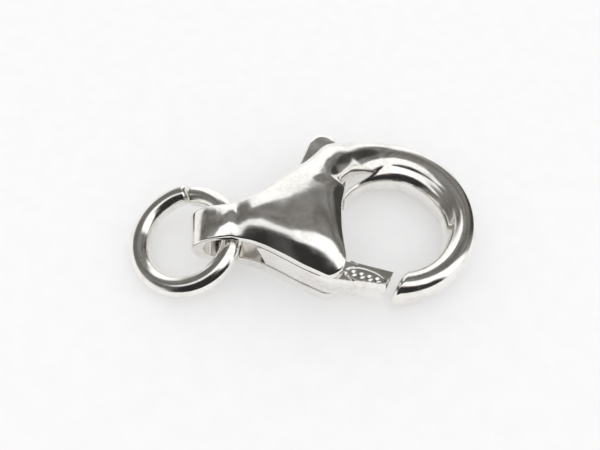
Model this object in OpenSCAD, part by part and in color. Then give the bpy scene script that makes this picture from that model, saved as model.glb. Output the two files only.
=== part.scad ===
// Lobster clasp, cast in silver, with an open jump ring in its bail. Millimetres, +Z up.
// The clasp lies on its flat back at z = 0. The origin is the middle of the hook's eye, in that plane.
// +X points along the clasp to the hook, -X to the bail, and +Y to the side that the thumb tab is on.

/* [Hook] */
// Radius of the eye, the hook's inside
eye_r = 2.77; // [2.65:0.01:2.9]
// Radius of the hook's outside
hook_r = 4.85; // [4.75:0.01:4.95]
// How far the outside's middle lies from the eye's middle, toward the bail
hook_back = 0.21; // [0.1:0.01:0.3]
// How far the outside's middle lies from the eye's middle, toward the tab
hook_side = 0.52; // [0.4:0.01:0.6]
// Thickness of the hook, from its back to its front
hook_t = 2.1; // [1.8:0.05:2.4]
// Thickness of the hook where it grows out of the hood
root_t = 3.1; // [2.9:0.05:3.3]
// Gap between the hook's tip and the gate's end
tip_gap = 0.4; // [0.25:0.05:0.6]

/* [Hood] */
// Distance from the eye's middle to the hood's right edge, where that is deepest
edge_x = 3.13; // [3:0.01:3.2]
// Radius that the hood's right edge is hollowed to
edge_r = 9.3; // [8:0.1:12]
// How far that deepest place lies to the gate's side of the axis
edge_low = 1.9; // [1.7:0.05:2.1]
// How far the hollowed edge goes on to the tab's side, where it meets the eye's round wall
edge_high = 1.45; // [1.2:0.05:1.6]
// Radius of the plates' corner beside the gate
corner_r = 1; // [0.7:0.05:1.1]
// Length of the hood, from the bail to its right edge
hood_l = 5.47; // [5.2:0.01:5.8]
// Half the hood's width where it is widest
hood_half = 4.2; // [4.1:0.01:4.3]
// Height of the crown above the back
crown_z = 3.9; // [3.6:0.05:4.3]
// Rounding along the edges of the back
back_round = 0.3; // [0.1:0.05:0.4]

/* [Plates] */
// Thickness of the back plate
back_t = 0.9; // [0.75:0.05:1]
// Height of the slot that the lever moves in, and of the bail's hole
slot_h = 1.75; // [1.65:0.05:1.85]

/* [Bail] */
// Half the width of the bail's strip
bail_half = 0.97; // [0.9:0.01:1.1]
// Thickness of the bail's strip
bail_t = 0.4; // [0.35:0.01:0.5]
// Length of the bail, from the hood to its round end
bail_l = 1.8; // [1.7:0.05:2]

/* [Lever] */
// Gap between the lever and each plate
lever_gap = 0.1; // [0.05:0.01:0.2]
// How far the lever's side lies inside the plates' edge
lever_inset = 0.05; // [0:0.01:0.1]
// Length of the lever's tail, from the pivot toward the bail
tail_l = 1.95; // [1.6:0.05:2.1]
// Distance from the pivot to the gate's end
gate_l = 5; // [4.95:0.01:5.05]
// Width of the gate at its end
gate_w = 0.95; // [0.8:0.01:1.05]
// Distance from the pivot to the thumb tab's round end
tab_l = 6.9; // [6.7:0.02:7.1]
// Radius of the thumb tab's round end
tab_r = 0.7; // [0.6:0.01:0.75]
// Gap between the closed lever and the stop at the slot's end
stop_gap = 0.08; // [0.05:0.01:0.15]

/* [Pivot] */
// Distance from the hood's right edge back to the pivot
pivot_back = 2.07; // [1.9:0.01:2.2]
// Distance from the clasp's axis to the pivot, on the gate's side
pivot_side = 0.95; // [0.8:0.01:1.1]
// Radius of the pivot pin
pin_r = 0.45; // [0.3:0.01:0.6]
// How deep the pin goes into the hood
pin_grip = 0.4; // [0.2:0.05:0.5]
// Clearance round the pin in the plates
pin_seat_gap = 0.01; // [0.01:0.01:0.02]
// Clearance round the pin in the lever
pin_run_gap = 0.05; // [0.02:0.01:0.1]

/* [Jump ring] */
// Radius of the ring, at the middle of its wire
ring_r = 2.52; // [2.45:0.01:2.6]
// Radius of the ring's wire
wire_r = 0.55; // [0.5:0.01:0.6]
// Play between the wire and the bail's round end
ring_play = 1.05; // [0.9:0.01:1.15]
// Direction of the ring's highest side, in degrees from +X
ring_turn = 23; // [10:1:40]
// Clearance between the wire and the bail's strip
ring_gap = 0.06; // [0.04:0.01:0.15]
// Width of the split in the ring
split_w = 0.12; // [0.05:0.01:0.3]
// Where the split lies, in degrees from +X
split_turn = 83; // [60:1:140]

/* [Hidden] */
$fn = 64;
silver = [0.80, 0.79, 0.78];
past = 1; // how far a cutter runs past what it cuts

slot_top = back_t + slot_h;
root_wall = 0.35; // how far the wall at the slot's end reaches into the eye's radius
slot_end = eye_r - root_wall; // from there to the eye's middle
hood_x = -edge_x - hood_l; // where the hood rises from the bail
bail_z = slot_top + bail_t; // the bail's front
bail_r = slot_h / 2 + bail_t; // outside of the bail's round end
bail_x = hood_x - bail_l + bail_r; // middle of that round end

// Sections of the hood: share of its length, of its growth in half width, and of its rise to the crown
HOOD = [
    [0.00, 0.00, 0.00],
    [0.10, 0.05, 0.16],
    [0.20, 0.11, 0.40],
    [0.30, 0.20, 0.62],
    [0.45, 0.37, 0.85],
    [0.60, 0.55, 0.97],
    [0.75, 0.705, 1.00],
    [0.90, 0.86, 0.92],
    [1.00, 0.95, 0.76],
    [1.15, 1.02, 0.45]
];
hood_steps = 23;
dome_steps = 20;
corner_x = edge_x + corner_r; // middle of the plates' corner beside the gate
corner_y = half_width(-corner_x) - corner_r;

// Turns along the hook, in degrees from +X: its tip, where it starts and ends to thicken, and its root
// inside the hood
tip_turn = -112;
thicken_turn = 100;
thick_turn = 130;
root_turn = 150;
hook_steps = 46;
hook_sides = 20;
hook_square = 2.5; // 2 is an oval section, more is squarer

pivot = [-edge_x - pivot_back, -pivot_side];
gate_lean = 33; // the gate's end lies this many degrees round the pivot, from +X to the gate's side
tab_lean = 18.8; // the thumb tab leans this many degrees from +Y to the hook
lever_z = back_t + lever_gap;
lever_h = slot_h - 2 * lever_gap;
gate_end = pivot + gate_l * [cos(gate_lean), -sin(gate_lean)];
gate_half = gate_w / 2 * [sin(gate_lean), cos(gate_lean)];
tab_end = pivot + (tab_l - tab_r) * [sin(tab_lean), cos(tab_lean)];
tab_sweep = 150; // the arc of the tab's round end, in degrees
tab_step = 15;
side_steps = 8;

// Outline of the lever's web between gate and thumb tab: shares of gate_l toward the hook and of
// tab_l toward the tab, both from the pivot
WEB_HOOK_SIDE = [[0.46, -0.217], [0.37, -0.167], [0.31, 0.0], [0.34, 0.35], [0.46, 0.54]];
WEB_BAIL_SIDE = [[0.124, 0.675], [-0.02, 0.46], [-0.14, 0.22], [-0.35, 0.05]];

// The ring leans from the ground up into the bail's hole, and its wire just clears the strip
ring_tilt = asin((slot_top - ring_gap - 2 * wire_r) / (2 * ring_r));
ring_x = bail_x - slot_h / 2 + ring_play + wire_r - ring_r;
ring_split = 2 * asin(split_w / 2 / ring_r);

// A column of a table at share t, as a smooth curve through its rows
function row_before(rows, t, k = 0) =
    k >= len(rows) - 2 || rows[k + 1][0] > t ? k : row_before(rows, t, k + 1);
function slope(rows, k, c) =
    let (a = max(k - 1, 0), b = min(k + 1, len(rows) - 1))
    (rows[b][c] - rows[a][c]) / (rows[b][0] - rows[a][0]);
function column(rows, t, c) =
    let (k = row_before(rows, t), d = rows[k + 1][0] - rows[k][0], u = (t - rows[k][0]) / d)
    rows[k][c] * (1 + 2 * u) * pow(1 - u, 2) + slope(rows, k, c) * d * u * pow(1 - u, 2)
    + rows[k + 1][c] * (3 - 2 * u) * u * u + slope(rows, k + 1, c) * d * (u - 1) * u * u;
function ease(t) = let (u = min(1, max(0, t))) u * u * (3 - 2 * u);

// Half the hood's width, and the height of its crown, at x
function half_width(x) = bail_half + (hood_half - bail_half) * column(HOOD, (x - hood_x) / hood_l, 1);
function crown(x) = bail_z + (crown_z - bail_z) * column(HOOD, (x - hood_x) / hood_l, 2);

// Outline of the hood across the clasp at x: a flat back with rounded edges, upright sides, an oval dome
function hood_section(x) =
    let (w = half_width(x), r = back_round, bend = r * (1 - sin(45)), rise = crown(x) - slot_top)
    concat(
        [[w - r, 0], [w - bend, bend], [w, r]],
        [for (i = [0:dome_steps]) let (a = 180 * i / dome_steps) [w * cos(a), slot_top + rise * sin(a)]],
        [[-w, r], [bend - w, bend], [r - w, 0]]
    );

// Faces of a solid whose rings, of n points each, are joined one to the next
function joined(rings, n) = concat(
    [[for (j = [0:n - 1]) j]],
    [for (i = [0:rings - 2]) for (j = [0:n - 1])
        let (k = (j + 1) % n)
        [i * n + k, i * n + j, (i + 1) * n + j, (i + 1) * n + k]],
    [[for (j = [n - 1:-1:0]) (rings - 1) * n + j]]
);

// Distance from the eye's middle to the hook's outside, and thickness of the hook, in direction a
function outside(a) =
    let (b = -hook_back * cos(a) + hook_side * sin(a))
    b + sqrt(b * b + hook_r * hook_r - hook_back * hook_back - hook_side * hook_side);
function hook_height(a) =
    hook_t + (root_t - hook_t) * ease((a - thicken_turn) / (thick_turn - thicken_turn));
function squared(v) = sign(v) * pow(abs(v), 2 / hook_square);

// Outline of the lever, from its tail along the plates' edge to the gate, then by the tab back to the tail
function web(rows) = [for (row = rows) pivot + [row[0] * gate_l, row[1] * tab_l]];
function lever_plan() =
    let (tail_x = pivot[0] - tail_l)
    concat(
        [for (i = [0:side_steps])
            let (x = tail_x + (-corner_x - tail_x) * i / side_steps)
            [x, lever_inset - half_width(x)]],
        [gate_end - gate_half, gate_end + gate_half],
        web(WEB_HOOK_SIDE),
        [[-slot_end - stop_gap, hood_half]],
        [for (a = [0:tab_step:tab_sweep]) tab_end + tab_r * [cos(a), sin(a)]],
        web(WEB_BAIL_SIDE)
    );

module hood_block() {
    last = HOOD[len(HOOD) - 1][0];
    rings = [for (i = [0:hood_steps])
        let (x = hood_x + hood_l * last * i / hood_steps)
        [for (p = hood_section(x)) [x, p[0], p[1]]]];
    polyhedron([for (ring = rings) each ring], joined(len(rings), len(rings[0])), convexity = 4);
}

module hook_block() {
    rings = [for (i = [0:hook_steps])
        let (
            a = tip_turn + (root_turn - tip_turn) * i / hook_steps,
            half = (outside(a) - eye_r) / 2,
            h = hook_height(a) / 2
        )
        [for (j = [0:hook_sides - 1])
            let (b = -360 * j / hook_sides, r = eye_r + half + half * squared(cos(b)))
            [r * cos(a), r * sin(a), h + h * squared(sin(b))]]];
    polyhedron([for (ring = rings) each ring], joined(len(rings), hook_sides), convexity = 6);
}

// A cutter of the given outline, through the whole thickness
module through() {
    translate([0, 0, -past]) linear_extrude(crown_z + 2 * past) children();
}

// The eye, and left of it the space up to the hood's hollowed edge
module eye_plan() {
    circle(eye_r, $fn = 128);
    intersection() {
        translate([edge_r - edge_x, -edge_low]) circle(edge_r, $fn = 256);
        translate([-edge_x - past, -corner_y]) square([edge_x + past, corner_y + edge_high]);
    }
}

// What the plates lack beside the gate, where their corner is round
module corner_plan() {
    difference() {
        translate([-corner_x, -corner_y - 2 * hood_half]) square([corner_x, 2 * hood_half]);
        translate([-corner_x, -corner_y]) circle(corner_r);
    }
}

// The gate's end turns about the pivot, past a tip that is cut square to its reach
module tip_plan() {
    translate(gate_end) rotate(-gate_lean)
        translate([tip_gap - hook_r, -hook_r]) square([hook_r, 2 * hook_r]);
}

// Side view of the bail, from its round end to where the hood starts
module bail_side() {
    translate([bail_x, back_t + slot_h / 2]) circle(bail_r);
    polygon([[bail_x, back_t - bail_t], [hood_x, 0], [hood_x, bail_z], [bail_x, bail_z]]);
}

// Side view of the space between the plates, which ends in the bail's round hole
module slot_side() {
    translate([bail_x, back_t + slot_h / 2]) circle(slot_h / 2);
    translate([bail_x, back_t]) square([-slot_end - bail_x, slot_h]);
}

// A solid of the given side view, as wide as stated, across the clasp's axis
module across(width) {
    rotate([90, 0, 0]) linear_extrude(width, center = true) children();
}

module pin_bore(gap, top) {
    translate([pivot[0], pivot[1], -past]) cylinder(r = pin_r + gap, h = top + past);
}

module body() {
    color(silver) difference() {
        union() {
            difference() {
                hood_block();
                through() corner_plan();
            }
            difference() {
                hook_block();
                through() tip_plan();
            }
            across(2 * bail_half) bail_side();
        }
        through() eye_plan();
        across(2 * hood_half + 2 * past) slot_side();
        pin_bore(pin_seat_gap, slot_top + pin_grip + pin_seat_gap);
    }
}

module lever() {
    color(silver) difference() {
        translate([0, 0, lever_z]) linear_extrude(lever_h) polygon(lever_plan());
        pin_bore(pin_run_gap, slot_top);
    }
}

module pivot_pin() {
    color(silver) translate([pivot[0], pivot[1], 0]) cylinder(r = pin_r, h = slot_top + pin_grip);
}

module jump_ring() {
    color(silver) translate([ring_x, 0, wire_r + ring_r * sin(ring_tilt)])
        rotate(ring_turn) rotate([0, -ring_tilt, 0]) rotate(split_turn - ring_turn + ring_split / 2)
            rotate_extrude(angle = 360 - ring_split, $fn = 96) translate([ring_r, 0]) circle(wire_r);
}

body();
lever();
pivot_pin();
jump_ring();
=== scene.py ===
import bpy
import numpy as np
from mathutils import Matrix, Vector


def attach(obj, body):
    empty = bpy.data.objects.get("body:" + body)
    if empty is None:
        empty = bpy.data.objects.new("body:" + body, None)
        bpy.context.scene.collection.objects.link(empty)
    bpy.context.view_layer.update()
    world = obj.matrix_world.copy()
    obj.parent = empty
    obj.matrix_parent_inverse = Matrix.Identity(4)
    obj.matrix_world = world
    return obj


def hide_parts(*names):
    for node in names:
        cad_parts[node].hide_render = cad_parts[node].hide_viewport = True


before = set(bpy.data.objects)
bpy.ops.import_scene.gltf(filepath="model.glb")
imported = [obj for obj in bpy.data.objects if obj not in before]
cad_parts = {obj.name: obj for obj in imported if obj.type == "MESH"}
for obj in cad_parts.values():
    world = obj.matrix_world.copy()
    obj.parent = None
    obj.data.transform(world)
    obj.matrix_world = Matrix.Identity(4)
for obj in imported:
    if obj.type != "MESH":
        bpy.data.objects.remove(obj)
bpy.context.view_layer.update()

# Lobster clasp, cast in silver, with an open jump ring in its bail. The shapes are worked out in
# millimetres, in the frame of the CAD model, and become metres when a mesh is made. Values with the
# names of part.scad repeat its values, but for the hood's sections and the hook's section and root,
# which are fuller here. A turn is a direction round the eye's middle, in degrees.
MM = 0.001

# Hook
eye_r = 2.77
hook_r = 4.85
hook_back = 0.21
hook_side = 0.52
hook_t = 2.1
root_t = 3.6
tip_gap = 0.4
tip_round = 0.3
thicken_turn = 80
thick_turn = 140
root_turn = 158
hook_square = 2.1
ledge = 0.3  # the bar's inner side steps back by this above a lower round rim
ledge_turn = -35  # the ledge starts here and grows over ledge_sweep
ledge_sweep = 50
rim_half = 0.85
rim_t = 1.8
rim_round = 0.06
bar_slope = 0.13  # the bar's top rises outward, and turns level on the way to the root
level_turn = 100
level_sweep = 40
tip_slope = 0.15  # taken off that slope on the way to the tip
fall_turn = -10
fall_sweep = 50

# Hood and plates
edge_x = 3.13
edge_r = 9.3
edge_low = 1.9
edge_high = 1.45
edge_soft = 0.3
corner_r = 1.0
hood_l = 5.47
hood_half = 4.2
crown_z = 3.9
crown_more = 0.08  # the dome stands this much above crown_z
back_t = 0.9
slot_h = 1.75
root_wall = 0.35
dome_round = 0.07
dome_steepest = 4  # limit of the square of the dome's slope, by which its field is divided
plate_round = 0.1
outline_round = 0.1
eye_round = 0.08
slot_round = 0.06
tab_side_y = 0.2  # from here on, over tab_side_w, the dome's rise becomes that of the tab's side
tab_side_w = 1.8
wide_x = -7.2  # from here on, over wide_l, the dome's section goes from narrow to wide
wide_l = 1.8

# The hood's end toward the hook. It is softer on the tab's side, where the hook's root goes on from it
rooted_y = 0.9  # from here on, over rooted_w
rooted_w = 1.1
rooted_back = 0.2
rooted_round = 0.5
front_back = 0.45
front_round = 0.2
front_more_round = 0.7
melt_w = 1.4  # the hood and the hook flow together over this width
melt_less = 0.9  # and over this much less beyond melt_turn
melt_turn = 120
melt_sweep = 28

# Bail, and the strip along its top, which runs up into the hood
bail_half = 0.97
bail_t = 0.4
bail_l = 1.8
bail_more = 0.2  # the bail's round end is this much thicker at its outermost point
bail_round = 0.12  # its edges are rounded from bail_round_x beyond its middle, over bail_round_l
bail_round_x = 0.2
bail_round_l = 0.6
under_round = 0.2
strip_crown = 0.12
strip_drop = 0.07
strip_lift = 0.16  # the strip rises by this over the last strip_lift_l before the hood
strip_lift_l = 1.0
strip_blend = 0.2

# Lever and pivot
lever_gap = 0.1
lever_inset = 0.05
lever_round = 0.07
tail_l = 1.95
tail_slope = 0.3
tail_over = 0.25  # the lever's outline runs this far past the slanting end of the tail
gate_l = 5.0
gate_w = 0.95
tab_l = 6.9
tab_r = 0.7
stop_gap = 0.08
pivot_back = 2.07
pivot_side = 0.95
pin_r = 0.45
pin_grip = 0.4
pin_seat_gap = 0.01
pin_run_gap = 0.05
bore_over = 1
gate_lean = np.radians(33)
tab_lean = np.radians(18.8)
bevel_out = 0.94  # the direction that the bevel round the lever's top faces
bevel_up = 0.34
bevel_more = 0.1  # the bevel cuts this much deeper on the gate's outer side
bevel_from = 1.6  # from here on along the gate, over bevel_l
bevel_l = 0.6

# The thumb tab's top falls toward its round end, outside a circle
crescent_r = 0.6
crescent_back = 0.25
crescent_soft = 0.04
crescent_l = 0.3
crescent_fall = 0.25

# The raised oval on the gate, with its round dimples
OVAL_AT = np.array([-2.22, -3.47])
OVAL_LEAN = np.radians(24)
OVAL = np.array([1.05, 0.42])
oval_lift = 0.06
oval_edge = 0.85  # share of the oval's size where its edge starts to fall
oval_fall = 0.2
DOTS = (-0.6, -0.2, 0.2, 0.6)
dot_depth = 0.06
dot_r = 0.19

# Jump ring
ring_r = 2.52
wire_r = 0.55
ring_play = 1.05
ring_turn = np.radians(23)
ring_gap = 0.06
split_w = 0.12
split_turn = np.radians(83)
bend_l = 1.6  # over this length the wire's two ends bend out of line, by the next four values
start_out = 0.045
start_up = 0.05
end_in = 0.035
end_down = 0.03

# Meshes: the box that each field is worked out in, and the size of its cells
BODY_BOX = ((-10.9, -4.6, -0.25), (4.9, 5.6, 4.2))
BODY_CELL = 0.07
LEVER_BOX = ((-7.4, -4.3, 0.8), (-0.5, 5.9, 2.8))
LEVER_CELL = 0.06

# The camera's level line is turned by the first angle from the frame's x axis, and the camera rolls
# by the second. The studio is turned with the level line
photo_turn = np.radians(11.3)
photo_roll = np.radians(5.9)

slot_top = back_t + slot_h
slot_mid = back_t + slot_h / 2
slot_end = eye_r - root_wall
hood_x = -edge_x - hood_l
bail_z = slot_top + bail_t
crest_z = crown_z + crown_more
strip_edge = bail_z - strip_drop
bail_r = slot_h / 2 + bail_t
bail_x = hood_x - bail_l + bail_r
pivot = np.array([-edge_x - pivot_back, -pivot_side])
gate_axis = np.array([np.cos(gate_lean), -np.sin(gate_lean)])
gate_side = np.array([np.sin(gate_lean), np.cos(gate_lean)])
gate_end = pivot + gate_l * gate_axis
tab_axis = np.array([np.sin(tab_lean), np.cos(tab_lean)])
tab_side = np.array([np.cos(tab_lean), -np.sin(tab_lean)])
oval_axis = np.array([np.cos(OVAL_LEAN), -np.sin(OVAL_LEAN)])
oval_side = np.array([np.sin(OVAL_LEAN), np.cos(OVAL_LEAN)])

# Sections of the hood: share of its length, of its growth in half width, and of its rise to the crown,
# on the gate's side and on the tab's side, where it runs on into the hook's root
HOOD = np.array([
    [0.00, 0.00, 0.00, 0.00],
    [0.03, 0.015, 0.06, 0.06],
    [0.08, 0.04, 0.26, 0.26],
    [0.13, 0.067, 0.44, 0.44],
    [0.18, 0.097, 0.57, 0.57],
    [0.24, 0.145, 0.66, 0.66],
    [0.30, 0.20, 0.73, 0.73],
    [0.45, 0.37, 0.86, 0.86],
    [0.60, 0.55, 0.96, 0.95],
    [0.75, 0.705, 1.00, 0.96],
    [0.88, 0.84, 0.93, 0.92],
    [0.95, 0.905, 0.80, 0.86],
    [1.00, 0.95, 0.64, 0.80],
    [1.05, 0.975, 0.45, 0.72],
    [1.15, 1.02, 0.10, 0.52],
])

# The dome across the clasp, where the hood is wide and where it is narrow: share of the half width,
# from the gate's side to the tab's side, and share of the rise
WIDE = np.array([
    [-1.00, 0.00],
    [-0.935, 0.15],
    [-0.87, 0.29],
    [-0.77, 0.475],
    [-0.655, 0.65],
    [-0.48, 0.84],
    [-0.25, 0.96],
    [-0.05, 1.00],
    [0.20, 0.985],
    [0.385, 0.945],
    [0.53, 0.895],
    [0.70, 0.79],
    [0.87, 0.53],
    [0.935, 0.32],
    [1.00, 0.00],
])
NARROW = np.array([
    [-1.00, 0.00],
    [-0.87, 0.19],
    [-0.70, 0.41],
    [-0.55, 0.585],
    [-0.40, 0.735],
    [-0.21, 0.875],
    [0.00, 0.97],
    [0.20, 1.00],
    [0.40, 0.97],
    [0.53, 0.92],
    [0.70, 0.79],
    [0.87, 0.48],
    [1.00, 0.00],
])

# Outline of the lever's web: shares of gate_l toward the hook and of tab_l toward the tab
WEB_HOOK_SIDE = np.array([[0.46, -0.217], [0.37, -0.167], [0.31, 0.0], [0.34, 0.35], [0.46, 0.54]])
WEB_BAIL_SIDE = np.array([[0.124, 0.675], [-0.02, 0.46], [-0.14, 0.22], [-0.35, 0.05]])


def ease(t):
    u = np.clip(t, 0, 1)
    return u * u * (3 - 2 * u)


def smooth_table(rows, c, count=1200):
    """Column c of a table as a fine list of points on a smooth curve through its rows."""
    t, v = rows[:, 0], rows[:, c]
    before = np.maximum(np.arange(len(t)) - 1, 0)
    after = np.minimum(np.arange(len(t)) + 1, len(t) - 1)
    slope = (v[after] - v[before]) / (t[after] - t[before])
    at = np.linspace(t[0], t[-1], count)
    k = np.clip(np.searchsorted(t, at, side="right") - 1, 0, len(t) - 2)
    d = t[k + 1] - t[k]
    u = (at - t[k]) / d
    value = (
        v[k] * (1 + 2 * u) * (1 - u) ** 2
        + slope[k] * d * u * (1 - u) ** 2
        + v[k + 1] * (3 - 2 * u) * u * u
        + slope[k + 1] * d * (u - 1) * u * u
    )
    return at, value


GROWTH = smooth_table(HOOD, 1)
RISE = smooth_table(HOOD, 2)
TAB_RISE = smooth_table(HOOD, 3)
WIDE_DOME = smooth_table(WIDE, 1)
NARROW_DOME = smooth_table(NARROW, 1)


def both(a, b, r):
    """The space inside two fields, with the edge between them rounded to radius r."""
    return np.minimum(np.maximum(a, b), -r) + np.hypot(np.maximum(a + r, 0), np.maximum(b + r, 0))


def either(a, b, r):
    """The space inside one of two fields or both, with the corner between them filled to radius r."""
    return -both(-a, -b, r)


def melt(a, b, k):
    """The space inside one of two fields or both, which flow into each other over a width k."""
    h = np.maximum(k - np.abs(a - b), 0) / k
    return np.minimum(a, b) - h * h * k / 4


def highest(a, b, k):
    return -melt(-a, -b, k)


def along(x, y, start, axis):
    """How far a place lies from a start, along an axis in plan."""
    return (x - start[0]) * axis[0] + (y - start[1]) * axis[1]


def turn_from(x, y, least):
    """Direction round the eye's middle in degrees, counted from least on."""
    turn = np.degrees(np.arctan2(y, x))
    return np.where(turn < least, turn + 360, turn)


def half_width(x):
    t = (x - hood_x) / hood_l
    return bail_half + (hood_half - bail_half) * np.interp(t, *GROWTH)


def hood_top(x, y):
    """Height of the dome, and of the strip along the bail."""
    t = (x - hood_x) / hood_l
    share = np.clip(y / half_width(x), -1, 1)
    rise = np.interp(t, *RISE)
    rise = rise + (np.interp(t, *TAB_RISE) - rise) * ease((y - tab_side_y) / tab_side_w)
    strip = strip_crown + strip_lift * ease((x - hood_x + strip_lift_l) / strip_lift_l)
    crown = bail_z + highest((crest_z - bail_z) * rise, strip, strip_blend)
    narrow, wide = np.interp(share, *NARROW_DOME), np.interp(share, *WIDE_DOME)
    dome = narrow + (wide - narrow) * ease((x - wide_x) / wide_l)
    return strip_edge + (crown - strip_edge) * dome


def eye_field(x, y):
    return eye_r - np.hypot(x, y)


def front_edge(x, y):
    """The plates' edge toward the gate and the hook's eye, and their round corner beside the gate."""
    hollow = edge_r - np.hypot(x - (edge_r - edge_x), y + edge_low)
    corner_x = edge_x + corner_r
    corner_y = half_width(-corner_x) - corner_r
    a = hollow + corner_r
    b = -y - corner_y
    outer = np.hypot(np.maximum(a, 0), np.maximum(b, 0))
    round_corner = outer + np.minimum(np.maximum(a, b), 0) - corner_r
    return either(round_corner, edge_high - y, edge_soft)


def hood_field(x, y, z):
    # The upright sides and the dome, each divided by its slope, so that the field is nearly a distance
    e = 0.01
    w = half_width(x)
    lean = (half_width(x + e) - half_width(x - e)) / (2 * e)
    side = (np.abs(y) - w) / np.sqrt(1 + lean * lean)
    slope_x = (hood_top(x + e, y) - hood_top(x - e, y)) / (2 * e)
    slope_y = (hood_top(x, y + e) - hood_top(x, y - e)) / (2 * e)
    steep = np.minimum(slope_x * slope_x + slope_y * slope_y, dome_steepest)
    dome = (z - hood_top(x, y)) / np.sqrt(1 + steep)
    hood = both(side, dome, dome_round)
    # The bail's underside and its round end
    under = (bail_z - 2 * bail_r) * (1 - ease((x - bail_x) / (hood_x - bail_x)))
    hood = both(hood, under - z, under_round)
    swell = np.where(z > slot_mid, bail_r / (hood_top(x, y) - slot_mid), 1)
    longer = bail_r / (bail_r + bail_more)
    round_end = np.hypot((x - bail_x) * longer, (z - slot_mid) * swell) - bail_r
    end = np.where(x < bail_x, round_end, -bail_r)
    hood = both(hood, end, bail_round * ease((bail_x - bail_round_x - x) / bail_round_l))
    # The end toward the hook. On the tab's side it stops short of the eye
    hood = both(hood, front_edge(x, y), plate_round)
    rooted = ease((y - rooted_y) / rooted_w)
    hood = both(hood, eye_field(x, y) + rooted_back * rooted, plate_round + rooted_round * rooted)
    front = x - (hood_x + hood_l * HOOD[-1, 0]) + front_back * rooted
    return both(hood, front, front_round + front_more_round * rooted)


def outside(turn):
    """Distance from the eye's middle to the hook's outside, in direction turn, in radians."""
    b = -hook_back * np.cos(turn) + hook_side * np.sin(turn)
    return b + np.sqrt(b * b + hook_r ** 2 - hook_back ** 2 - hook_side ** 2)


def oval(across, rise, half, h):
    """Distance, nearly, to a squared oval of half sizes half and h, from its middle."""
    smallest = 1e-6
    least_slope = 0.1
    u = np.abs(across) / half
    v = np.abs(rise) / h
    n = hook_square
    size = np.maximum((u ** n + v ** n) ** (1 / n), smallest)
    steep = np.hypot((u / size) ** (n - 1) / half, (v / size) ** (n - 1) / h)
    return (size - 1) / np.maximum(steep, least_slope)


def hook_field(x, y, z):
    # Counted from -150, the turn has no jump between the tip and the root
    turn = turn_from(x, y, -150)
    reach = outside(np.radians(turn))
    inside = eye_r + ledge * ease((turn - ledge_turn) / ledge_sweep)
    half = (reach - inside) / 2
    thicker = ease((turn - thicken_turn) / (thick_turn - thicken_turn))
    h = (hook_t + (root_t - hook_t) * thicker) / 2
    from_eye = np.hypot(x, y)
    across = from_eye - (reach + inside) / 2
    levelled = 1 - ease((turn - level_turn) / level_sweep)
    slope = bar_slope * levelled - tip_slope * ease((fall_turn - turn) / fall_sweep)
    level = z / (1 + slope * across / (2 * h))
    bar = oval(across, level - h, half, h)
    rim_mid = np.minimum(rim_half, (reach - eye_r) / 2)
    rim = oval(from_eye - eye_r - rim_mid, z - rim_t / 2, rim_mid, rim_t / 2)
    section = either(bar, rim, rim_round)
    tip = tip_gap - along(x, y, gate_end, gate_axis)
    root = np.radians(root_turn)
    ends = np.minimum(-np.sin(root) * x + np.cos(root) * y, tip)
    return both(section, ends, tip_round)


def slot_field(x, z):
    flat = np.maximum(np.abs(z - slot_mid) - slot_h / 2, x + slot_end)
    return np.where(x < bail_x, np.hypot(x - bail_x, z - slot_mid) - slot_h / 2, flat)


def bore_field(x, y, z, gap, top):
    return np.maximum(np.hypot(x - pivot[0], y - pivot[1]) - pin_r - gap, z - top)


def body_field(p):
    x, y, z = p.T
    # Counted from -90, the turn has no jump where the hood and the hook meet
    turn = turn_from(x, y, -90)
    width = melt_w - melt_less * ease((turn - melt_turn) / melt_sweep)
    body = melt(hood_field(x, y, z), hook_field(x, y, z), width)
    hood_side = np.maximum(np.abs(y) - half_width(x), x + slot_end)
    outline = np.minimum(hood_side, np.hypot(x, y) - outside(np.arctan2(y, x)))
    body = both(body, outline, outline_round)
    body = np.maximum(body, -z)
    body = both(body, eye_field(x, y), eye_round)
    body = both(body, -slot_field(x, z), slot_round)
    return np.maximum(body, -bore_field(x, y, z, pin_seat_gap, slot_top + pin_grip + pin_seat_gap))


def lever_plan():
    """Outline of the lever, from its tail along the plates' edge to the gate, then by the tab back."""
    gate_half = gate_w / 2 * gate_side
    tab_end = pivot + (tab_l - tab_r) * tab_axis
    edge = np.linspace(pivot[0] - tail_l, -edge_x - corner_r, 9)
    round_end = np.radians(np.arange(0, 151, 7.5))
    size = np.array([gate_l, tab_l])
    return np.concatenate([
        [[edge[0] - tail_over, lever_inset - half_width(edge[0])]],
        np.stack([edge, lever_inset - half_width(edge)], 1),
        [gate_end - gate_half, gate_end + gate_half],
        pivot + WEB_HOOK_SIDE * size,
        [[-slot_end - stop_gap, hood_half]],
        tab_end + tab_r * np.stack([np.cos(round_end), np.sin(round_end)], 1),
        pivot + WEB_BAIL_SIDE * size,
    ])


def plan_field(x, y, points):
    """Distance to a closed outline, less than zero inside it."""
    nearest = np.full(x.shape, np.inf)
    inside = np.zeros(x.shape, bool)
    for a, b in zip(points, np.roll(points, -1, 0)):
        d = b - a
        t = np.clip(along(x, y, a, d) / (d @ d), 0, 1)
        nearest = np.minimum(nearest, np.hypot(x - a[0] - t * d[0], y - a[1] - t * d[1]))
        if a[1] != b[1]:
            cross = (a[1] > y) != (b[1] > y)
            inside ^= cross & (x < a[0] + (y - a[1]) / d[1] * d[0])
    return np.where(inside, -nearest, nearest)


PLAN = lever_plan()


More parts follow.
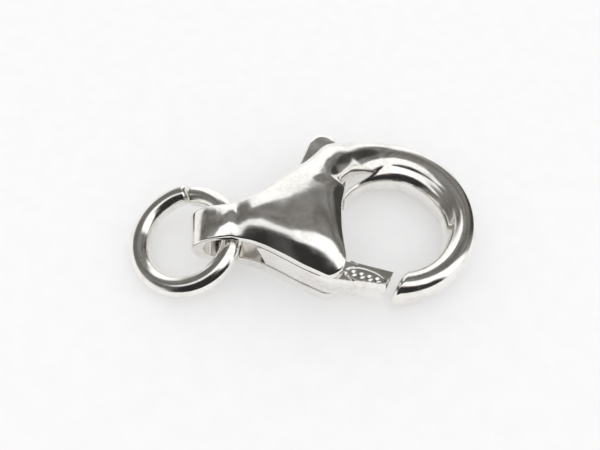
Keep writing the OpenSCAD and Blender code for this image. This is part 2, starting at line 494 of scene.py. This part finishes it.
def lever_field(p):
    x, y, z = p.T
    plan = plan_field(x, y, PLAN)
    # The top, with the fall at the thumb tab's end
    past = along(x, y, pivot, tab_axis) - (tab_l - tab_r - crescent_back)
    beyond = np.hypot(past, along(x, y, pivot, tab_side)) - crescent_r
    crescent = (beyond + np.hypot(beyond, crescent_soft)) * ease(past / crescent_l)
    top = slot_top - lever_gap - crescent_fall * crescent
    low = back_t + lever_gap
    # The raised oval and its dimples
    oval_x = along(x, y, OVAL_AT, oval_axis)
    oval_y = along(x, y, OVAL_AT, oval_side)
    size = np.hypot(oval_x / OVAL[0], oval_y / OVAL[1])
    lift = oval_lift * (1 - ease((size - oval_edge) / oval_fall))
    for dot in DOTS:
        away = np.hypot(oval_x - dot, oval_y)
        lift = lift - dot_depth * (1 - ease(away / dot_r))
    lift = np.where(z > slot_mid, lift, 0)
    lid = np.maximum(z - top - lift, low - z)
    tail = pivot[0] - tail_l - x - tail_slope * (z - slot_mid)
    lever = both(np.maximum(plan, tail), lid, lever_round)
    # The bevel round the top
    gate = ease((along(x, y, pivot, gate_axis) - bevel_from) / bevel_l)
    outer_side = along(x, y, pivot, gate_side) < 0
    bevel = bevel_out * plan + bevel_up * (z - top) + bevel_more * gate * outer_side
    lever = np.maximum(lever, bevel)
    return np.maximum(lever, -bore_field(x, y, z, pin_run_gap, slot_top + bore_over))


def gradient(field, p, e=0.004):
    g = np.empty_like(p)
    for i in range(3):
        step = np.zeros(3)
        step[i] = e
        g[:, i] = (field(p + step) - field(p - step)) / (2 * e)
    return g


def skin(field, low, high, cell):
    """Points, quads and normals of the surface where a field is zero, in the box from low to high."""
    batches = 16  # the grid is worked out in this many parts, to save memory
    rounds = 4  # steps that bring the points onto the surface
    longest = 0.5 * cell
    least_slope = 0.2  # squared
    tiny = 1e-9
    low = np.array(low, float)
    count = np.ceil((np.array(high) - low) / cell).astype(int) + 1
    axes = [low[i] + cell * np.arange(count[i]) for i in range(3)]
    grid = np.stack(np.meshgrid(*axes, indexing="ij"), -1).reshape(-1, 3)
    value = np.concatenate([field(part) for part in np.array_split(grid, batches)]).reshape(count)
    total = np.zeros((*count, 3))
    hits = np.zeros(count)
    loops = []
    # Each grid edge that the surface crosses gives one quad between the four cells round it
    for a in range(3):
        first = tuple(slice(0, -1) if i == a else slice(None) for i in range(3))
        second = tuple(slice(1, None) if i == a else slice(None) for i in range(3))
        v0, v1 = value[first], value[second]
        cross = (v0 < 0) != (v1 < 0)
        at = np.argwhere(cross)
        point = low + cell * at
        point[:, a] += cell * v0[cross] / (v0[cross] - v1[cross])
        around = []
        for b, c in ((0, 0), (1, 0), (1, 1), (0, 1)):
            near = at.copy()
            near[:, (a + 1) % 3] -= b
            near[:, (a + 2) % 3] -= c
            where = tuple(near.T)
            total[where] += point
            hits[where] += 1
            around.append(np.ravel_multi_index(where, count))
        around = np.stack(around, 1)
        turned = v0[cross] > 0
        around[turned] = around[turned][:, ::-1]
        loops.append(around)
    used = hits.ravel() > 0
    number = np.cumsum(used) - 1
    points = total.reshape(-1, 3)[used] / hits.ravel()[used, None]
    for _ in range(rounds):
        g = gradient(field, points)
        step = -field(points)[:, None] * g / np.maximum((g * g).sum(1, keepdims=True), least_slope)
        size = np.linalg.norm(step, axis=1, keepdims=True)
        points = points + step * np.minimum(1, longest / np.maximum(size, tiny))
    g = gradient(field, points)
    normals = g / np.maximum(np.linalg.norm(g, axis=1, keepdims=True), tiny)
    return points, number[np.concatenate(loops)], normals


def mesh_object(name, points, faces, normals=None):
    mesh = bpy.data.meshes.new(name)
    mesh.from_pydata((points * MM).tolist(), [], [list(map(int, f)) for f in faces])
    mesh.validate()
    mesh.shade_smooth()
    if normals is not None:
        mesh.normals_split_custom_set_from_vertices(normals.tolist())
    obj = bpy.data.objects.new(name, mesh)
    bpy.context.scene.collection.objects.link(obj)
    return obj


def jump_ring():
    """Points and faces of the open ring: a swept wire whose two sawn ends meet a little out of line."""
    tilt = np.arcsin((slot_top - ring_gap - 2 * wire_r) / (2 * ring_r))
    middle_x = bail_x - slot_h / 2 + ring_play + wire_r - ring_r
    middle = np.array([middle_x, 0, wire_r + ring_r * np.sin(tilt)])
    cq, sq = np.cos(ring_turn), np.sin(ring_turn)
    ct, st = np.cos(tilt), np.sin(tilt)
    turned = np.array([[cq, -sq, 0], [sq, cq, 0], [0, 0, 1]])
    tilted = np.array([[ct, 0, -st], [0, 1, 0], [st, 0, ct]])
    place = turned @ tilted
    split = 2 * np.arcsin(split_w / 2 / ring_r)
    start = split_turn - ring_turn + split / 2
    sweep = 2 * np.pi - split
    steps, sides = 192, 36
    # The wire's ends are rounded: millimetres from the end, and share of the radius there
    ends = [(0, 0.84), (0.05, 0.95), (0.12, 1.0)]
    arc = [(d / ring_r, s) for d, s in ends]
    inner = np.linspace(arc[-1][0], sweep - arc[-1][0], steps)[1:-1]
    stations = arc + [(a, 1.0) for a in inner] + [(sweep - a, s) for a, s in arc[::-1]]
    points = []
    for a, share in stations:
        near_start = 1 - ease(a * ring_r / bend_l)
        near_end = 1 - ease((sweep - a) * ring_r / bend_l)
        r = ring_r + start_out * near_start - end_in * near_end
        rise = start_up * near_start - end_down * near_end
        out = np.array([np.cos(start + a), np.sin(start + a), 0])
        for b in np.linspace(0, 2 * np.pi, sides, endpoint=False):
            across = wire_r * share * np.cos(b)
            over = wire_r * share * np.sin(b)
            points.append(out * (r + across) + [0, 0, rise + over])
    faces = []
    for i in range(len(stations) - 1):
        for j in range(sides):
            k = (j + 1) % sides
            faces.append([i * sides + j, (i + 1) * sides + j, (i + 1) * sides + k, i * sides + k])
    faces.append(list(range(sides)))
    faces.append([(len(stations) - 1) * sides + j for j in range(sides - 1, -1, -1)])
    return np.array(points) @ place.T + middle, faces


def camera():
    eye = Vector((-8.085, -15.377, 28.75))
    look = Vector((-4.780, 1.164, 0.0))
    back = (eye - look).normalized()
    level = Vector((np.cos(photo_turn), -np.sin(photo_turn), 0))
    rise = back.cross(level)
    right = level * np.cos(photo_roll) + rise * np.sin(photo_roll)
    up = rise * np.cos(photo_roll) - level * np.sin(photo_roll)
    data = bpy.data.cameras.new("camera")
    data.lens = 36
    data.sensor_width = 36
    data.sensor_fit = "HORIZONTAL"
    data.clip_start = 0.001
    data.clip_end = 10
    obj = bpy.data.objects.new("camera", data)
    bpy.context.scene.collection.objects.link(obj)
    turned = Matrix((right, up, back)).transposed().to_4x4()
    obj.matrix_world = Matrix.Translation(eye * MM) @ turned
    bpy.context.scene.camera = obj


class Nodes:
    """A node tree with short calls for the nodes that the materials and the studio share."""

    def __init__(self, tree):
        self.tree = tree
        tree.nodes.clear()

    def add(self, kind, inputs=None, **settings):
        """A new node. An input given as a socket is linked, and any other is set to its value."""
        node = self.tree.nodes.new(kind)
        for name, value in settings.items():
            setattr(node, name, value)
        for name, value in (inputs or {}).items():
            if isinstance(value, bpy.types.NodeSocket):
                self.tree.links.new(value, node.inputs[name])
            else:
                node.inputs[name].default_value = value
        return node

    def math(self, operation, a, b=0.0):
        return self.add("ShaderNodeMath", {0: a, 1: b}, operation=operation).outputs[0]

    def plus(self, a, b):
        return self.math("ADD", a, b)

    def times(self, first, *others):
        for other in others:
            first = self.math("MULTIPLY", first, other)
        return first

    def step(self, value, low, high, to_low=0.0, to_high=1.0):
        """A smooth change from to_low to to_high while value goes from low to high."""
        node = self.add(
            "ShaderNodeMapRange",
            {"Value": value, "From Min": low, "From Max": high, "To Min": to_low, "To Max": to_high},
            interpolation_type="SMOOTHSTEP",
        )
        return node.outputs[0]

    def window(self, value, low, high, soft):
        """1 where value lies between low and high, with soft edges, and 0 outside."""
        up = self.step(value, low - soft / 2, low + soft / 2)
        down = self.step(value, high - soft / 2, high + soft / 2, 1.0, 0.0)
        return self.times(up, down)

    def mix(self, factor, a, b):
        # Inputs 6 and 7 and output 2 are the node's colours
        node = self.add("ShaderNodeMix", {0: factor, 6: a, 7: b}, data_type="RGBA")
        return node.outputs[2]


def grey(v, warm=0.0):
    """A grey of value v. Its red is raised by the share warm, and its blue lowered by more."""
    return (v * (1 + warm), v, v * (1 - 1.6 * warm), 1.0)


def studio():
    """Soft boxes round the clasp, which its polish reflects, and even white light for all else.

    A direction is given by its shares to the right and to the far side, each from -1 to 1, by its lean
    from overhead toward the camera's side, and by its rise above the horizon, both in degrees.
    """
    even_light = grey(1.1)
    box_light = grey(1.15)
    wall_light = grey(1.1)
    screen_light = grey(0.95)
    low_light = grey(0.9)
    world = bpy.data.worlds.new("studio")
    bpy.context.scene.world = world
    world.use_nodes = True
    world.cycles.sampling_method = "NONE"
    n = Nodes(world.node_tree)
    place = n.add("ShaderNodeTexCoord").outputs["Generated"]
    turn = n.add(
        "ShaderNodeVectorRotate",
        {"Vector": place, "Angle": float(photo_turn)},
        rotation_type="Z_AXIS",
    ).outputs[0]
    xyz = n.add("ShaderNodeSeparateXYZ", {0: turn})
    right, far, up = xyz.outputs[0], xyz.outputs[1], xyz.outputs[2]
    left = n.math("MINIMUM", right, 0.0)
    right_only = n.math("MAXIMUM", right, 0.0)
    near = n.times(far, -1.0)
    lean = n.math("DEGREES", n.math("ARCTAN2", near, up))
    rise = n.math("DEGREES", n.math("ARCSINE", up))
    # The room beyond the soft boxes: grey, and dark toward the camera except at its left end
    cloud = n.add("ShaderNodeTexNoise", {"Vector": turn, "Scale": 3.5, "Detail": 4.0}).outputs["Fac"]
    room = n.mix(n.step(cloud, 0.35, 0.65), grey(0.13, 0.05), grey(0.24, 0.02))
    toward = n.times(n.step(lean, 22.0, 32.0), n.step(right, -0.78, -0.45))
    base = n.mix(toward, room, grey(0.03))
    rosy = n.times(n.window(lean, 22.0, 42.0, 6.0), n.step(right, 0.16, 0.3))
    base = n.mix(rosy, base, (0.27, 0.2, 0.205, 1))
    # A dim screen to the left of the overhead box
    screen = n.times(n.window(lean, 9.0, 25.0, 6.0), n.window(right, -0.64, -0.28, 0.12))
    base = n.mix(screen, base, screen_light)
    # A soft box overhead, which leans toward the camera on the right and narrows on the left
    lowest = n.step(n.plus(lean, n.times(left, 30.0)), -6.0, -1.0)
    highest_lean = n.step(n.plus(lean, n.times(right_only, -30.0)), 26.0, 20.0)
    over = n.times(lowest, highest_lean, n.window(right, -0.34, 0.7, 0.12))
    base = n.mix(over, base, box_light)
    # A bright wall low on the far side, which rises toward the left and falls again at its end
    lifted = n.times(left, n.step(right, -0.54, -0.44))
    wall_top = n.plus(lean, n.times(lifted, 45.0))
    wall_end = n.plus(right, n.times(up, 0.7))
    wall = n.times(
        n.step(wall_top, -45.0, -50.0),
        n.step(right, -0.68, -0.42),
        n.step(wall_end, 0.74, 0.5),
    )
    base = n.mix(wall, base, wall_light)
    # A bright wall on the right
    side = n.times(
        n.window(right, 0.6, 1.2, 0.12),
        n.window(rise, 0.0, 50.0, 8.0),
        n.window(far, -0.38, 0.1, 0.1),
    )
    base = n.mix(side, base, box_light)
    # A dark corner low on the right, on the far side
    corner = n.times(n.step(right, 0.52, 0.66), n.step(far, 0.3, 0.42), n.step(rise, 42.0, 32.0))
    base = n.mix(corner, base, grey(0.05, 0.05))
    # Light low on the left
    low = n.times(n.step(rise, 22.0, 8.0), n.step(right, -0.5, -0.8))
    base = n.mix(low, base, low_light)
    rays = n.add("ShaderNodeLightPath")
    seen = n.mix(rays.outputs["Is Glossy Ray"], even_light, base)
    emit = n.add("ShaderNodeBackground", {"Color": seen, "Strength": 1.0})
    n.add("ShaderNodeOutputWorld", {"Surface": emit.outputs[0]})


def silver(name, roughness, wave):
    """Polished cast silver, with the faint unevenness, scratches and film that polish leaves.

    A noise's scale is the number of its waves in a millimetre, and wave is in millimetres.
    """
    bright = (0.95, 0.935, 0.91, 1)
    filmed = (0.80, 0.775, 0.73, 1)
    scratch_rough = 0.02
    scratch_depth = 0.0006
    material = bpy.data.materials.new(name)
    material.use_nodes = True
    n = Nodes(material.node_tree)
    place = n.add("ShaderNodeTexCoord").outputs["Object"]

    def noise(scale, detail, stretch=(1, 1, 1)):
        at = n.add("ShaderNodeMapping", {"Vector": place, "Scale": [s / MM for s in stretch]})
        node = n.add("ShaderNodeTexNoise", {"Vector": at.outputs[0], "Scale": scale, "Detail": detail})
        return node.outputs["Fac"]

    film = n.times(n.step(noise(0.9, 5.0), 0.35, 0.7), n.step(noise(5.0, 3.0), 0.2, 0.7))
    colour = n.mix(film, bright, filmed)
    cloud = n.step(noise(1.6, 4.0), 0.3, 0.8, roughness * 0.75, roughness * 1.5)
    scratch = n.step(noise(6.0, 4.0, (1, 3, 2)), 0.4, 0.7)
    rough = n.plus(cloud, n.times(scratch, scratch_rough))
    swell = n.add(
        "ShaderNodeBump",
        {"Strength": 1.0, "Distance": wave * MM, "Height": noise(0.9, 2.0)},
    )
    depth = scratch_depth * MM
    fine = n.add(
        "ShaderNodeBump",
        {"Strength": 0.5, "Distance": depth, "Height": scratch, "Normal": swell.outputs[0]},
    )
    shader = n.add(
        "ShaderNodeBsdfPrincipled",
        {"Base Color": colour, "Metallic": 1.0, "Roughness": rough, "Normal": fine.outputs[0]},
    )
    n.add("ShaderNodeOutputMaterial", {"Surface": shader.outputs[0]})
    return material


def floor():
    """Pale paper under the clasp, in metres. Its top is just below the clasp's back."""
    half = 0.6
    depth = -0.00001
    darker = (0.545, 0.54, 0.54, 1)
    paler = (0.56, 0.555, 0.555, 1)
    mesh = bpy.data.meshes.new("floor")
    mesh.from_pydata(
        [(-half, -half, depth), (half, -half, depth), (half, half, depth), (-half, half, depth)],
        [],
        [(0, 1, 2, 3)],
    )
    obj = bpy.data.objects.new("floor", mesh)
    bpy.context.scene.collection.objects.link(obj)
    material = bpy.data.materials.new("floor")
    material.use_nodes = True
    n = Nodes(material.node_tree)
    place = n.add("ShaderNodeTexCoord").outputs["Object"]
    grain = n.add("ShaderNodeTexNoise", {"Vector": place, "Scale": 900.0, "Detail": 2.0}).outputs["Fac"]
    colour = n.mix(n.step(grain, 0.3, 0.7), darker, paler)
    paper = n.add("ShaderNodeBsdfDiffuse", {"Color": colour})
    # The paper is lit from below too, so the shadows on it are faint
    glow = n.add("ShaderNodeEmission", {"Color": grey(0.36), "Strength": 1.0})
    shader = n.add("ShaderNodeAddShader", {0: paper.outputs[0], 1: glow.outputs[0]})
    n.add("ShaderNodeOutputMaterial", {"Surface": shader.outputs[0]})
    obj.data.materials.append(material)


def dress(obj, material, body, node):
    obj.data.materials.append(material)
    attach(obj, body)
    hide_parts(node)


camera()
bpy.context.scene.view_settings.view_transform = "Standard"
studio()
floor()
cast = silver("cast_silver", roughness=0.12, wave=0.004)
drawn = silver("drawn_silver", roughness=0.12, wave=0.003)
milled = silver("milled_silver", roughness=0.17, wave=0.004)
coarse = 1.0
body = mesh_object("clasp_body", *skin(body_field, *BODY_BOX, BODY_CELL * coarse))
dress(body, cast, "clasp", "body")
lever = mesh_object("clasp_lever", *skin(lever_field, *LEVER_BOX, LEVER_CELL * coarse))
dress(lever, milled, "lever", "lever")
ring = mesh_object("open_jump_ring", *jump_ring())
dress(ring, drawn, "clasp", "jump_ring")
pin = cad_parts["pivot_pin"]
pin.data.materials.clear()
pin.data.materials.append(milled)

bpy.context.view_layer.update()
